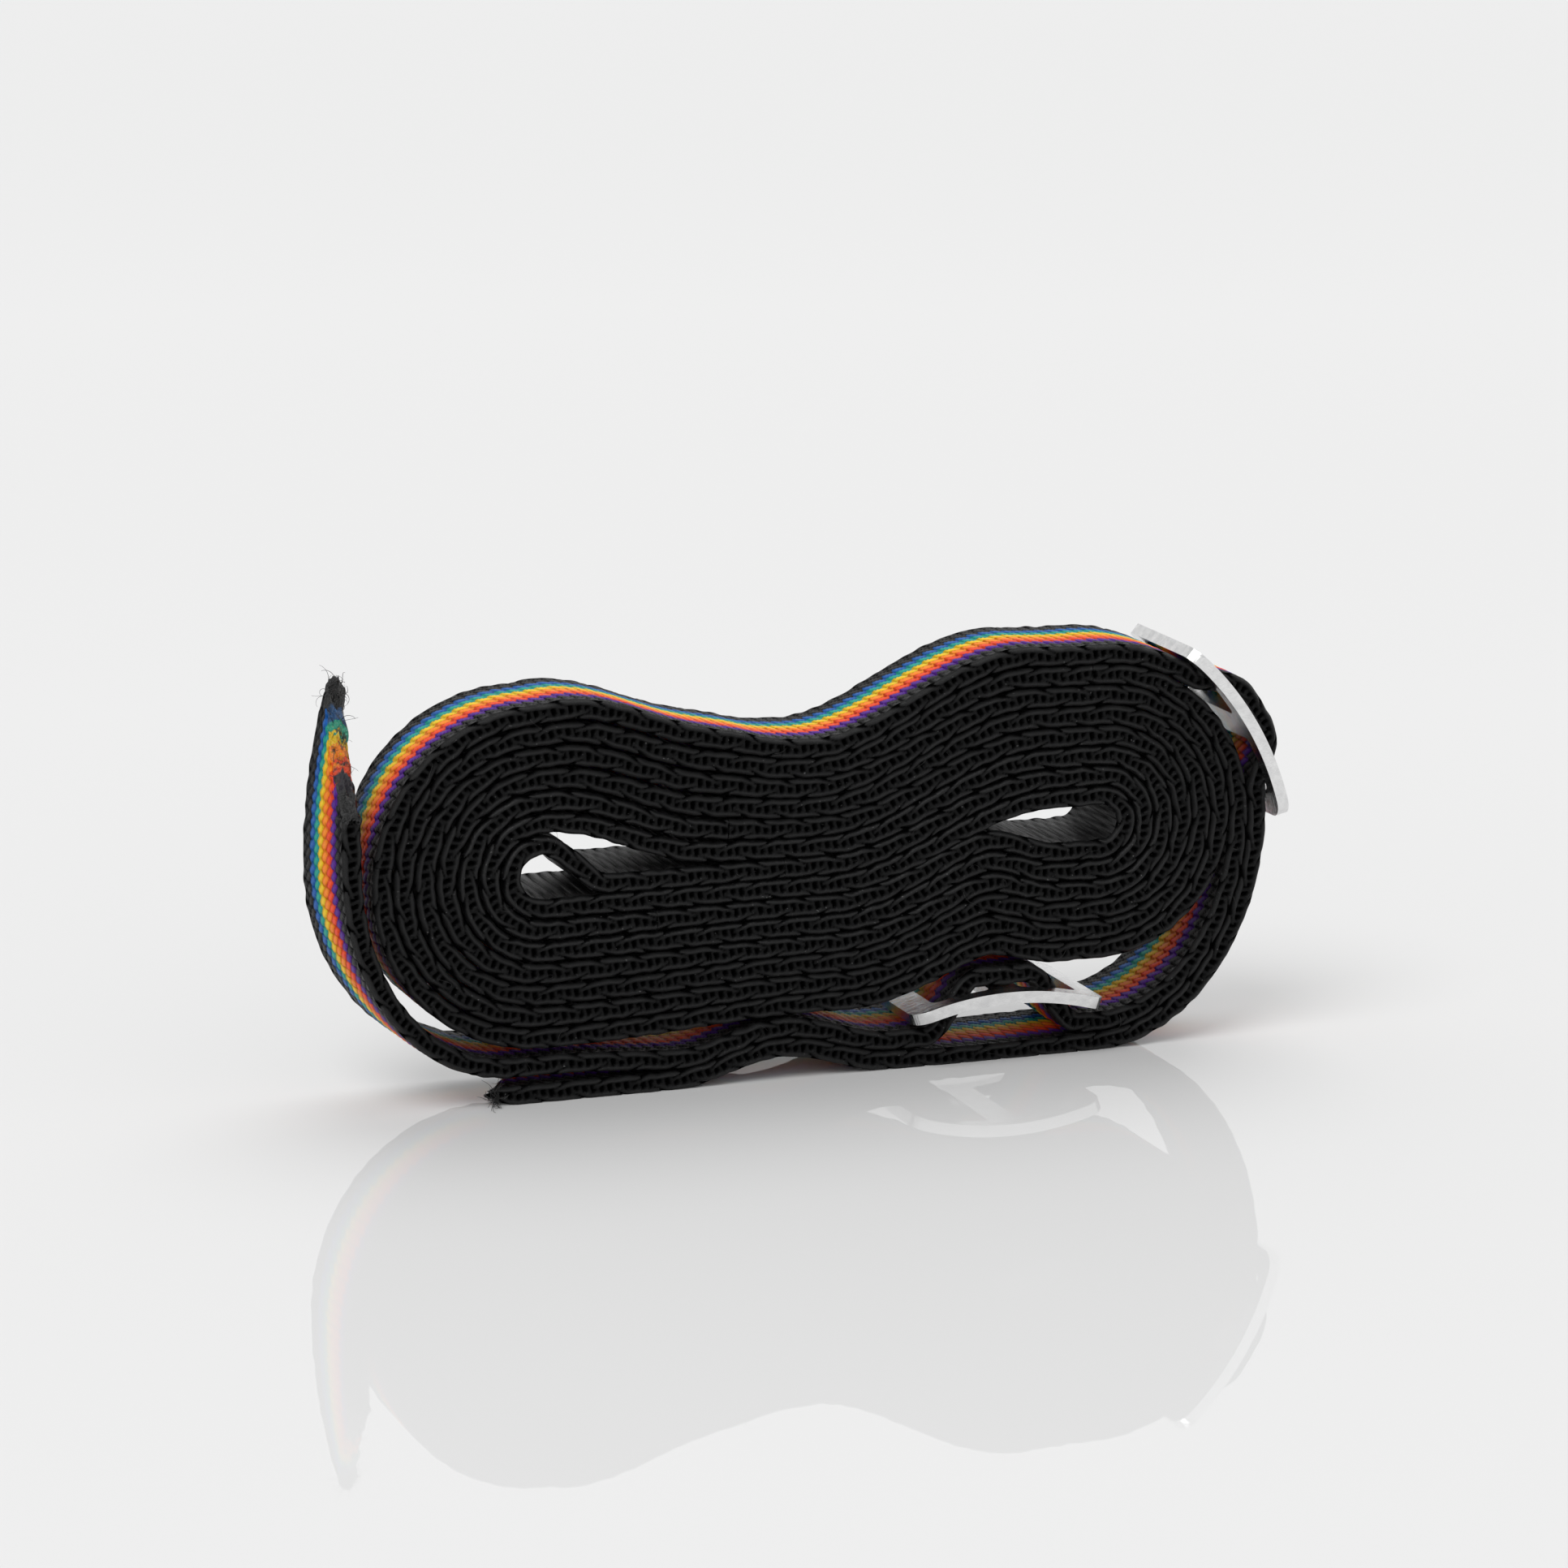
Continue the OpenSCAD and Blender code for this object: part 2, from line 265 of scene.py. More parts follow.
def selvage_relief(s, level, far_shift):
    """How far a selvage stands out, from 0 in a hole to 1 on a rope's strand.

    Two ropes, high and low on the edge, are each a chain of overlapping strands. Each strand starts thin,
    swells, and dives towards the middle of the edge under the next one. Weft loops and holes alternate
    between the ropes."""
    relief = np.zeros_like(s)
    for rope, phase in ((1.0, 0.0), (-1.0, 0.5)):
        for earlier in (0, 1):
            u = s / STRAND_L + phase + far_shift
            u = u - np.floor(u) + earlier
            dive = np.clip((u - DIVE_START) / DIVE_L, 0, 1)
            centre = ROPE_LEVEL - DIVE_DEPTH * dive**1.3 + 0.12 * np.clip(1 - u / 0.2, 0, 1)
            size = STRAND_SIZE * np.clip(u / 0.18, 0, 1) ** 0.5 * (1 - 0.35 * dive)
            size = np.where((u < STRAND_END) & (size > THINNEST), size, THINNEST)
            lump = np.sqrt(np.clip(1 - ((rope * level - centre) / size) ** 2, 0, 1))
            tall = (1 - 0.25 * dive) * np.where(u < STRAND_END, 1, 0)
            relief = np.maximum(relief, lump * tall)
    loop_place = s / LOOP_L + 0.35 * level
    loop_shape = np.clip(1.9 * np.abs(np.cos(math.pi * loop_place)) - 0.75, 0, 1) ** 0.7
    return np.maximum(relief, np.where(np.abs(level) < LOOP_REACH, LOOP_HEIGHT * loop_shape, 0))


def weave_points(s, prof):
    """Woven surface for ring distances s (rings x points) and a profile.

    Returns y, z across the thickness, the cord whose colour shows, and how far each point stands out."""
    y0, height, out = prof[:, 0], prof[:, 1], prof[:, 2]
    on_face = out == 0
    y = np.where(on_face, y0, y0 + out * EDGE_L)[None, :] + np.zeros_like(s)
    side = np.where(height >= 0, 1.0, -1.0)[None, :]

    cord = (y + WEB_W / 2) / CORD_W
    float_shape, leaning = float_relief(s, cord, side)
    wear = 1 + 0.14 * smooth_noise(s / PICK * 2.1 + np.floor(leaning) * 5.3, 3)
    crown = CROWN_H * (1 - (2 * y / WEB_W) ** 2)
    face_height = CORE_H + crown + FLOAT_H * float_shape * wear

    level = height[None, :] + np.zeros_like(s)
    relief = selvage_relief(s, level, np.where(y0[None, :] > 0, FAR_EDGE_SHIFT, 0.0))
    sway = 0.05 * MM * smooth_noise(s / PICK * 0.9, 8)
    reach = EDGE_L + HOLE_DEPTH * (relief - 0.8) * np.abs(out)[None, :] + sway
    edge_half = EDGE_H * (0.96 + 0.05 * smooth_noise(s / PICK * 1.3, 21, 2))

    z = np.where(on_face[None, :], side * face_height, height[None, :] * edge_half)
    y = np.where(on_face[None, :], y0[None, :], y0[None, :] + out[None, :] * reach)
    colour_cord = np.where(on_face[None, :], leaning, cord)
    stands_out = np.where(on_face[None, :], float_shape, relief)
    return y, z, colour_cord, stands_out


def cord_shift(cord, along, lean):
    """A cord coordinate that leans sideways along each float."""
    return cord + lean * ((along - np.floor(along)) - 0.5)


def melted_lumps(s, y, z, past_cut):
    """Uneven, swollen webbing near the standing end's heat-sealed cut."""
    melt = np.clip(1 - past_cut / MELT_L, 0, 1) ** 0.7
    lumps = smooth_noise(s / MM * 1.1 + np.sign(z) * 7 + y * 2100, 31, 4)
    z = z * (1 + MELT_LUMPS * melt * lumps)
    y = y + MELT_LUMPS * MM * melt * smooth_noise(s / MM * 1.4 + z * 3000, 33)
    return y, z


def ring_halves(points):
    """Point numbers of a ring's upper and lower halves from near to far, and its two end points.

    A ring holds the upper face, the far selvage, the lower face and the near selvage, in that order."""
    n_edge = EDGE_POINTS
    n_face = (points - 2 * n_edge) // 2
    upper = list(range(n_face))
    far = list(range(n_face, n_face + n_edge))
    lower = list(range(2 * n_face + n_edge - 1, n_face + n_edge - 1, -1))
    near = list(range(2 * n_face + n_edge, points))
    half = n_edge // 2
    top = near[half + 1:] + upper + far[:half]
    bottom = near[:half][::-1] + lower + far[half + 1:][::-1]
    return top, bottom, near[half], far[half]


def cap_mesh(flat, uv, points, ring, way, next_vertex, last, rough):
    """A cap that closes a ring by joining its upper and lower halves through the thickness.

    Returns the cap's new vertices, their UVs and its faces. A rough cap bulges out along way."""
    top, bottom, near_end, far_end = ring_halves(points)
    columns = len(top)
    grid = np.zeros((columns, CAP_STEPS + 1), int)
    rng = np.random.default_rng(17 + ring)
    places = np.arange(columns)[:, None] * 0.22 + np.arange(CAP_STEPS)[None, :] * 3.7
    lumps = smooth_noise(places, 41)
    verts, verts_uv, faces = [], [], []
    for c in range(columns):
        a, b = ring * points + top[c], ring * points + bottom[c]
        grid[c, 0], grid[c, CAP_STEPS] = a, b
        for m in range(1, CAP_STEPS):
            t = m / CAP_STEPS
            p = flat[a] * (1 - t) + flat[b] * t
            if rough:
                grain = CAP_GRAIN * rng.normal()
                bulge = grain + (CAP_BULGE + CAP_LUMPS * lumps[c, m]) * math.sin(math.pi * t)
                p = p + way * bulge
            grid[c, m] = next_vertex + len(verts)
            verts.append(p)
            verts_uv.append((uv[a, 0], uv[a, 1] * (1 - t) + uv[b, 1] * t))
    for c in range(columns - 1):
        for m in range(CAP_STEPS):
            quad = [grid[c, m], grid[c, m + 1], grid[c + 1, m + 1], grid[c + 1, m]]
            faces.append(quad[::-1] if last else quad)
    for c, end, turned in ((0, near_end, not last), (columns - 1, far_end, last)):
        for m in range(CAP_STEPS):
            corner = [ring * points + end, grid[c, m + 1], grid[c, m]]
            faces.append(corner if turned else corner[::-1])
    return verts, verts_uv, faces


def strap_object(name, verts, uv, height_share, skin, caps):
    """A mesh object from a skin of quads and the faces of its caps, with the weave's UV and cavities."""
    loops = np.r_[skin.reshape(-1), np.concatenate([np.array(face) for face in caps])]
    cap_sizes = [len(face) for face in caps]
    starts = np.r_[np.arange(len(skin)) * 4, len(skin) * 4 + np.r_[0, np.cumsum(cap_sizes)[:-1]]]
    material_index = np.r_[np.zeros(len(skin)), np.ones(len(caps))].astype(np.int32)
    mesh = bpy.data.meshes.new(name)
    mesh.vertices.add(len(verts))
    mesh.vertices.foreach_set("co", verts.astype(np.float32).reshape(-1))
    mesh.loops.add(len(loops))
    mesh.loops.foreach_set("vertex_index", loops.astype(np.int32))
    mesh.polygons.add(len(skin) + len(caps))
    mesh.polygons.foreach_set("loop_start", starts.astype(np.int32))
    mesh.polygons.foreach_set("material_index", material_index)
    layer = mesh.uv_layers.new(name="weave")
    layer.data.foreach_set("uv", uv[loops].astype(np.float32).reshape(-1))
    share = mesh.attributes.new("height_share", "FLOAT", "POINT")
    share.data.foreach_set("value", height_share.astype(np.float32))
    mesh.update(calc_edges=True)
    mesh.flip_normals()
    mesh.validate()
    mesh.shade_smooth()
    obj = bpy.data.objects.new(name, mesh)
    bpy.context.scene.collection.objects.link(obj)
    obj.data.materials.append(webbing_material)
    obj.data.materials.append(melted_material)
    return obj


def strap_mesh(name, s0, s1, fine, start_cut=0.0, end_cut=0.0, taper_end=0.0, twist=0.0, painted_shade=False):
    """A closed piece of webbing between distances s0 and s1 along the path.

    start_cut and end_cut are how far a slanting cut runs along the webbing. The last argument turns the
    stripe black, as painted shade for the shaded insides of the openings."""
    prof = profile(FACE_POINTS if fine else BURIED_FACE_POINTS, EDGE_POINTS)
    points = len(prof)
    rings = int(round((s1 - s0) / RING_STEP)) + 1
    base = np.linspace(s0, s1, rings)
    uncut = np.repeat(base[:, None], points, axis=1)
    across = ((prof[:, 0] + prof[:, 2] * EDGE_L) / WEB_W)[None, :]
    s = uncut
    if start_cut:
        relax = np.clip(1 - (base - s0) / (2.6 * start_cut), 0, 1)[:, None]
        s = s + relax * start_cut * (0.5 - across)
    if end_cut:
        relax = np.clip(1 - (s1 - base) / (1.6 * end_cut), 0, 1)[:, None]
        s = s - relax * end_cut * (0.5 + across)
    y, z, cord, cavity = weave_points(s, prof)
    # Painted shade: the stripe turns black
    if painted_shade:
        cord = cord * PAINTED_SHADE_SHARE
    if start_cut:
        y, z = melted_lumps(s, y, z, uncut - s0)
    if taper_end:
        melt = np.clip((s - (s1 - taper_end)) / taper_end, 0, 1)
        z = z * (1 - 0.5 * melt**2.5) - 0.12 * WEB_T * melt**2
        y = y * (1 - 0.1 * melt**2)
    if twist:
        share = np.clip((s - s0) / (s1 - s0), 0, 1)
        z = z + twist * np.sin(math.pi * share) ** 2 * (0.5 - y / WEB_W) * TOWARDS_ROLL
    pos, nor = path_at(s)
    verts = np.stack([pos[..., 0] + nor[..., 0] * z, y, pos[..., 1] + nor[..., 1] * z], -1).reshape(-1, 3)
    uv = np.c_[(s / PICK).reshape(-1), cord.reshape(-1)]
    height_share = cavity.reshape(-1)

    i = np.arange(rings - 1)[:, None] * points
    j = np.arange(points)[None, :]
    k = (j + 1) % points
    skin = np.stack([i + j, i + k, i + points + k, i + points + j], -1).reshape(-1, 4)

    flat, flat_uv, caps = verts, uv, []
    for ring, outward, rough in ((0, -1, start_cut), (rings - 1, 1, end_cut)):
        nearest = min(max(int(s[ring, 0] / RING_STEP), 0), RINGS - 1)
        way = np.array([tangent[nearest, 0], 0, tangent[nearest, 1]]) * outward
        cap = cap_mesh(flat, flat_uv, points, ring, way, len(verts), outward > 0, rough)
        verts = np.vstack([verts, cap[0]])
        uv = np.vstack([uv, cap[1]])
        caps += cap[2]
    height_share = np.r_[height_share, np.ones(len(verts) - len(flat))]
    return strap_object(name, verts, uv, height_share, skin, caps)


def distance_to(point):
    """Distance along the path of the place closest to a point in the XZ plane."""
    return float(np.argmin(np.linalg.norm(PATH - np.array(point), axis=1))) * RING_STEP


# Painted shade: the pieces that pass near the middle of the two openings have their stripe turned black,
# standing in for the shade inside the openings
CORE_S = distance_to((WAIST_X, 20.9 * MM))
CORE_REACH = 110 * MM
PAINTED_SHADE_SHARE = 0.17                      # painted shade: squeezes all the cords' colours into the black ones


# ---------------------------------------------------------------- materials
def new_material(name):
    material = bpy.data.materials.new(name)
    material.use_nodes = True
    tree = material.node_tree
    tree.nodes.clear()
    out = tree.nodes.new("ShaderNodeOutputMaterial")
    shader = tree.nodes.new("ShaderNodeBsdfPrincipled")
    tree.links.new(shader.outputs[0], out.inputs[0])
    return material, tree, shader


def math_node(tree, operation, a, b=None, c=None):
    node = tree.nodes.new("ShaderNodeMath")
    node.operation = operation
    for i, value in enumerate((a, b, c)):
        if value is None:
            continue
        if isinstance(value, (int, float)):
            node.inputs[i].default_value = value
        else:
            tree.links.new(value, node.inputs[i])
    return node.outputs[0]


def noise_node(tree, vector, scale, detail=3.0, roughness=0.55):
    node = tree.nodes.new("ShaderNodeTexNoise")
    node.inputs["Scale"].default_value = scale
    node.inputs["Detail"].default_value = detail
    node.inputs["Roughness"].default_value = roughness
    if vector is not None:
        tree.links.new(vector, node.inputs["Vector"])
    return node.outputs["Fac"]


def mix_colour(tree, factor, a, b, blend="MIX"):
    node = tree.nodes.new("ShaderNodeMix")
    node.data_type = "RGBA"
    node.blend_type = blend
    for socket, value in ((node.inputs[0], factor), (node.inputs[6], a), (node.inputs[7], b)):
        if isinstance(value, (int, float)):
            socket.default_value = value
        elif isinstance(value, tuple):
            socket.default_value = (*value, 1.0)
        else:
            tree.links.new(value, socket)
    return node.outputs[2]


BLACK = (0.0032, 0.0032, 0.0034)
SCORCHED = (0.003, 0.003, 0.003)
DUST = (0.30, 0.30, 0.30)
STRIPE_SOFTNESS = 0.006                 # blend between two stripes, as a share of the width
# Warp colours from the near edge (-Y) to the far edge, and how many cords each one fills
STRIPES = [
    (BLACK, 2.0),
    ((0.075, 0.009, 0.24), 1.0),
    ((0.80, 0.060, 0.010), 1.05),
    ((0.90, 0.235, 0.008), 1.05),
    ((0.80, 0.52, 0.008), 0.95),
    ((0.003, 0.31, 0.24), 0.95),
    ((0.004, 0.095, 0.37), 1.0),
    (BLACK, 2.0),
]


def stripe_ramp(tree, cord):
    """The warp colour at a cord coordinate from 0 at the near edge to CORDS at the far one."""
    share = math_node(tree, "DIVIDE", cord, float(CORDS))
    ramp = tree.nodes.new("ShaderNodeValToRGB")
    ramp.color_ramp.interpolation = "LINEAR"
    tree.links.new(share, ramp.inputs[0])
    stops = []
    begin = 0.0
    for i, (colour, cords) in enumerate(STRIPES):
        end = begin + cords / CORDS
        stops.append((begin + (STRIPE_SOFTNESS if i else 0), colour))
        stops.append((end - (STRIPE_SOFTNESS if i < len(STRIPES) - 1 else 0), colour))
        begin = end
    elements = ramp.color_ramp.elements
    elements[0].position, elements[0].color = stops[0][0], (*stops[0][1], 1)
    elements[1].position, elements[1].color = stops[-1][0], (*stops[-1][1], 1)
    for position, colour in stops[1:-1]:
        element = elements.new(position)
        element.color = (*colour, 1)
    return ramp.outputs[0]


def map_range(tree, value, low_from, high_from, low_to=0.0, high_to=1.0):
    """The value moved from one range to another, and held within it."""
    node = tree.nodes.new("ShaderNodeMapRange")
    node.inputs["From Min"].default_value = low_from
    node.inputs["From Max"].default_value = high_from
    node.inputs["To Min"].default_value = low_to
    node.inputs["To Max"].default_value = high_to
    tree.links.new(value, node.inputs["Value"])
    return node.outputs[0]


def weave_coordinates(tree):
    """(across in cords, a vector stretched along the fibres), from the weave's UV of picks and cords."""
    uv = tree.nodes.new("ShaderNodeUVMap")
    uv.uv_map = "weave"
    split = tree.nodes.new("ShaderNodeSeparateXYZ")
    tree.links.new(uv.outputs[0], split.inputs[0])
    along, across = split.outputs[0], split.outputs[1]
    joined = tree.nodes.new("ShaderNodeCombineXYZ")
    tree.links.new(math_node(tree, "MULTIPLY", along, 1.3), joined.inputs[0])
    tree.links.new(math_node(tree, "MULTIPLY", across, 14.0), joined.inputs[1])
    return across, joined.outputs[0]


def bump(tree, shader, height, distance, strength):
    node = tree.nodes.new("ShaderNodeBump")
    node.inputs["Distance"].default_value = distance
    node.inputs["Strength"].default_value = strength
    tree.links.new(height, node.inputs["Height"])
    tree.links.new(node.outputs[0], shader.inputs["Normal"])


def make_webbing():
    """Woven cords in the warp's colours, with painted shade darkening the weave's hollows, glinting on top,
    a little dusty.
    """
    material, tree, shader = new_material("woven_webbing")
    across, fibre_vector = weave_coordinates(tree)
    centred = math_node(tree, "SUBTRACT", noise_node(tree, fibre_vector, 0.5), 0.5)
    wander = math_node(tree, "MULTIPLY", centred, 0.35)
    colour = stripe_ramp(tree, math_node(tree, "ADD", across, wander))
    fibres = noise_node(tree, fibre_vector, 3.2, 4.0, 0.65)
    shade = math_node(tree, "MULTIPLY_ADD", fibres, 1.6, 0.55)
    # Painted shade: the colour drops to a quarter where the weave's relief is lowest, in its holes and
    # between its floats
    height_share = tree.nodes.new("ShaderNodeAttribute")
    height_share.attribute_name = "height_share"
    painted_hollow_shade = math_node(tree, "MULTIPLY_ADD", height_share.outputs["Fac"], 0.75, 0.25)
    shade = math_node(tree, "MULTIPLY", shade, painted_hollow_shade)
    scaled = tree.nodes.new("ShaderNodeVectorMath")
    scaled.operation = "SCALE"
    tree.links.new(colour, scaled.inputs[0])
    tree.links.new(shade, scaled.inputs["Scale"])
    # Pale dust and worn fibre tips, in small sparse spots
    geometry = tree.nodes.new("ShaderNodeNewGeometry")
    dust = noise_node(tree, geometry.outputs["Position"], 2600.0, 2.0, 0.5)
    speck = math_node(tree, "MULTIPLY", map_range(tree, dust, 0.72, 0.80), 0.35)
    dusty = mix_colour(tree, speck, scaled.outputs[0], DUST)
    tree.links.new(dusty, shader.inputs["Base Color"])
    rough = math_node(tree, "MULTIPLY_ADD", fibres, 0.30, 0.26)
    tree.links.new(rough, shader.inputs["Roughness"])
    glint = math_node(tree, "MULTIPLY", math_node(tree, "POWER", height_share.outputs["Fac"], 2.5), 0.30)
    tree.links.new(glint, shader.inputs["Specular IOR Level"])
    shader.inputs["Sheen Weight"].default_value = 0.015
    shader.inputs["Sheen Roughness"].default_value = 0.35
    bump(tree, shader, fibres, 0.12 * MM, 0.9)
    return material


def make_melted():
    """Cut, heat-sealed webbing: glossy smeared warp colours, scorched in blotches and near both edges."""
    material, tree, shader = new_material("melted_end")
    across = weave_coordinates(tree)[0]
    geometry = tree.nodes.new("ShaderNodeNewGeometry")
    blotch = noise_node(tree, geometry.outputs["Position"], 1500.0, 4.0, 0.6)
    smear = math_node(tree, "MULTIPLY", math_node(tree, "SUBTRACT", blotch, 0.5), 1.6)
    smeared = math_node(tree, "ADD", across, smear)
    colour = stripe_ramp(tree, smeared)
    scorched = noise_node(tree, geometry.outputs["Position"], 950.0, 5.0, 0.6)
    blotches = map_range(tree, scorched, 0.50, 0.62)
    near_edge = map_range(tree, across, 3.4, 3.0)
    far_edge = map_range(tree, smeared, 7.0, 8.0, 0.0, 0.9)
    scorch = math_node(tree, "MAXIMUM", blotches, math_node(tree, "MAXIMUM", far_edge, near_edge))
    dimmed = mix_colour(tree, 1.0, colour, (0.80, 0.78, 0.60), "MULTIPLY")
    dark = mix_colour(tree, math_node(tree, "MULTIPLY", scorch, 0.96), dimmed, SCORCHED)
    tree.links.new(dark, shader.inputs["Base Color"])
    shader.inputs["Roughness"].default_value = 0.24
    bump(tree, shader, blotch, 0.7 * MM, 1.0)
    return material


def make_metal():
    """Bright plated sheet with fine drawn streaks and a few scuffs."""
    material, tree, shader = new_material("plated_sheet")
    coordinates = tree.nodes.new("ShaderNodeTexCoord")
    mapping = tree.nodes.new("ShaderNodeMapping")
    mapping.inputs["Scale"].default_value = (300.0, 4200.0, 300.0)
    tree.links.new(coordinates.outputs["Object"], mapping.inputs[0])
    streaks = noise_node(tree, mapping.outputs[0], 1.0, 4.0, 0.6)
    scuffs = noise_node(tree, coordinates.outputs["Object"], 900.0, 5.0, 0.7)
    colour = mix_colour(tree, scuffs, (0.55, 0.55, 0.56), (1.0, 1.0, 0.99))
    tree.links.new(colour, shader.inputs["Base Color"])
    shader.inputs["Metallic"].default_value = 1.0
    rough = math_node(tree, "MULTIPLY_ADD", streaks, 0.30, 0.03)
    tree.links.new(rough, shader.inputs["Roughness"])
    both = math_node(tree, "ADD", streaks, math_node(tree, "MULTIPLY", scuffs, 0.8))
    bump(tree, shader, both, 0.12 * MM, 0.6)
    return material


def make_fluff():
    """Dark loose fibres, unevenly dark."""
    material, tree, shader = new_material("loose_fibre")
    geometry = tree.nodes.new("ShaderNodeNewGeometry")
    tone = noise_node(tree, geometry.outputs["Position"], 400.0)
    colour = mix_colour(tree, tone, (0.004, 0.004, 0.004), (0.035, 0.035, 0.035))
    tree.links.new(colour, shader.inputs["Base Color"])
    shader.inputs["Roughness"].default_value = 0.5
    return material


webbing_material = make_webbing()
melted_material = make_melted()
metal_material = make_metal()
fluff_material = make_fluff()


# ---------------------------------------------------------------- the webbing's pieces
standing_hinge_s = distance_to(standing_flex)
floor_hinge_s = distance_to(floor_flex)
FLEX_REACH = 2.5 * MM                   # margin either side of a flexing line; the roll's own pieces stop twice this far from it
CUT_RISE = 12.7 * MM                    # how far the standing end's slanting cut runs along it
FLOOR_CUT = 7.6 * MM                    # how much shorter the floor end's far edge is
TAPER_L = 3.5 * MM                      # how far the floor end's melted tip thins down
TWIST = 1.2 * MM                        # how far the standing end's near edge turns towards the roll

# The roll's own pieces lie between these two places
roll_start, roll_end = standing_hinge_s + 2 * FLEX_REACH, floor_hinge_s - 2 * FLEX_REACH

standing = strap_mesh("standing_end_webbing", 0.0, roll_start, True, start_cut=CUT_RISE, twist=TWIST)
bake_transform(standing)
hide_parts("standing_tail")

floor_piece = strap_mesh(
    "floor_end_webbing", roll_end, PATH_L, True, end_cut=FLOOR_CUT, taper_end=TAPER_L
)
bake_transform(floor_piece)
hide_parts("floor_tail")

# The visible outer layers are meshed finely across their faces, the buried ones only along their edges
FINE_START_L, FINE_END_L = 130 * MM, 262 * MM
pieces = []
for begin, end, count, fine in (
    (roll_start, roll_start + FINE_START_L, 2, True),
    (roll_start + FINE_START_L, roll_end - FINE_END_L, 7, False),
    (roll_end - FINE_END_L, roll_end, 5, True),
):
    places = np.linspace(begin, end, count + 1)
    pieces += [(a, b, fine) for a, b in zip(places[:-1], places[1:])]
for number, (a, b, fine) in enumerate(pieces, 1):
    if number > 1:
        a = round(a / RING_STEP) * RING_STEP
    # The pieces near the openings' middle get painted shade, a blackened stripe
    in_core = a < CORE_S + CORE_REACH and b > CORE_S - CORE_REACH
    piece = strap_mesh(f"roll_webbing_{number}", a, b, fine, painted_shade=in_core)
    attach(piece, "roll")
    if number == 1:
        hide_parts("webbing_roll")


# ---------------------------------------------------------------- slide buckles
BUCKLE_L, BUCKLE_W, BUCKLE_T = 22.0 * MM, 17.5 * MM, 1.3 * MM
BEND_R = 34 * MM
END_BAR, MIDDLE_BAR = 2.8 * MM, 3.4 * MM
SLOT_W = WEB_W + 0.9 * MM
SLOT_L = (BUCKLE_L - 2 * END_BAR - MIDDLE_BAR) / 2
CORNER_R, SLOT_R = 2 * MM, 0.8 * MM
SHEARED_EDGE_R = 0.22 * MM              # rounding of the sheet's edges
BEND_STRIPS = 26                        # flat strips that make up the sheet's bend
UPPER_ANGLE = 31                        # degrees round the right lobe at which the upper buckle sits


def rounded_outline(cx, length, width, radius, steps=6):
    points = []
    for sx, sy, a0 in ((1, 1, 0), (-1, 1, 90), (-1, -1, 180), (1, -1, 270)):
        for i in range(steps + 1):
            a = math.radians(a0 + 90 * i / steps)
            x = cx + sx * (length / 2 - radius) + radius * math.cos(a)
            y = sy * (width / 2 - radius) + radius * math.sin(a)
            points.append((x, y))
    return points


def buckle_mesh(name):
    """A flat sheet with two slots, cut along its length into strips, bent round Y and thickened."""
    bm = bmesh.new()
    loops = [rounded_outline(0, BUCKLE_L, BUCKLE_W, CORNER_R)]
    for side in (-1, 1):
        loops.append(rounded_outline(side * (MIDDLE_BAR + SLOT_L) / 2, SLOT_L, SLOT_W, SLOT_R))
    edges = []
    for loop in loops:
        verts = [bm.verts.new((x, y, 0)) for x, y in loop]
        edges += [bm.edges.new((verts[i], verts[(i + 1) % len(verts)])) for i in range(len(verts))]
    bmesh.ops.triangle_fill(bm, use_beauty=True, use_dissolve=False, edges=edges)
    for i in range(1, BEND_STRIPS):
        x = -BUCKLE_L / 2 + BUCKLE_L * i / BEND_STRIPS
        geometry = bm.verts[:] + bm.edges[:] + bm.faces[:]
        bmesh.ops.bisect_plane(bm, geom=geometry, plane_co=(x, 0, 0), plane_no=(1, 0, 0), dist=1e-7)
    bmesh.ops.remove_doubles(bm, verts=bm.verts[:], dist=1e-6)
    sheet_faces = bm.faces[:]
    for face in sheet_faces:
        if face.normal.z < 0:
            face.normal_flip()
    for v in bm.verts:
        v.co.z = -BUCKLE_T / 2
    result = bmesh.ops.extrude_face_region(bm, geom=sheet_faces)
    for v in [g for g in result["geom"] if isinstance(g, bmesh.types.BMVert)]:
        v.co.z = BUCKLE_T / 2
    # the faces left below now look up, so they are turned to look down
    for face in bm.faces:
        if all(abs(v.co.z + BUCKLE_T / 2) < 1e-9 for v in face.verts) and face.normal.z > 0:
            face.normal_flip()
    bmesh.ops.recalc_face_normals(bm, faces=bm.faces[:])
    for v in bm.verts:
        x, z = v.co.x, v.co.z
        sine = x / BEND_R
        v.co = Vector(((BEND_R + z) * sine, v.co.y, (BEND_R + z) * math.sqrt(1 - sine * sine) - BEND_R))
    mesh = bpy.data.meshes.new(name)
    bm.to_mesh(mesh)
    bm.free()
    obj = bpy.data.objects.new(name, mesh)
    bpy.context.scene.collection.objects.link(obj)
    bevel = obj.modifiers.new("rounded_edges", "BEVEL")
    bevel.width = SHEARED_EDGE_R
    bevel.segments = 3
    bevel.limit_method = "ANGLE"
    bevel.angle_limit = math.radians(50)
    bevel.harden_normals = False
    mesh.shade_smooth()
    smooth = obj.modifiers.new("even_shading", "WEIGHTED_NORMAL")
    smooth.keep_sharp = True
    mesh.materials.append(metal_material)
    return obj


def place_on_node(obj, node, rotation):
    """Put a buckle where its CAD node is: the same turn about Y, and the same box centre."""
    obj.rotation_euler = (0, rotation, 0)
    bpy.context.view_layer.update()
    corners = np.array([obj.matrix_world @ v.co for v in obj.data.vertices])
    node_low, node_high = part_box(node)
    shift = (node_low + node_high) / 2 - Vector((corners.min(0) + corners.max(0)) / 2)
    obj.location = shift
    bpy.context.view_layer.update()


